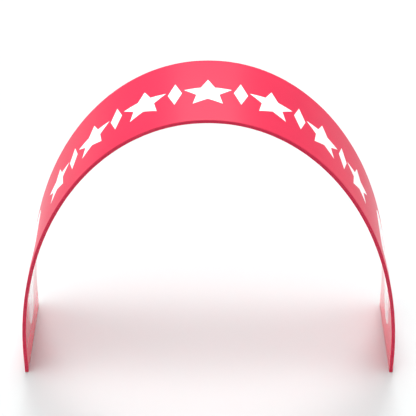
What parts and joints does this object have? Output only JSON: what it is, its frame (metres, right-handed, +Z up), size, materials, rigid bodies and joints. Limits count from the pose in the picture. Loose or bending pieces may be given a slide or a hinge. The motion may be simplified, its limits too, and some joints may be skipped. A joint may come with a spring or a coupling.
{
  "type": "archway banner cover on tube frame",
  "caption": "Walk-through archway banner stand: a printed stretch cloth cover of two sewn panels pulled taut over a bent square tube frame, flat at the edges and soles.",
  "frame": {"origin": "on the floor, at the middle of the passage between the four corners of the legs", "axes": "+X to the right leg as seen from the front, +Y through the passage to the back, +Z up to the crown"},
  "size_m": [3.0488, 0.89, 2.4544],
  "materials": {
    "cover_cloth": "smooth printed stretch knit",
    "frame_tube": "satin"
  },
  "bodies": {
    "root": {"cover_outer": "cover_cloth", "cover_inner": "cover_cloth", "hoop_front": "frame_tube", "hoop_back": "frame_tube", "foot_bar_left": "frame_tube", "foot_bar_right": "frame_tube", "spreader_1": "frame_tube", "spreader_2": "frame_tube", "spreader_3": "frame_tube", "spreader_4": "frame_tube", "spreader_5": "frame_tube"}
  },
  "joints": []
}
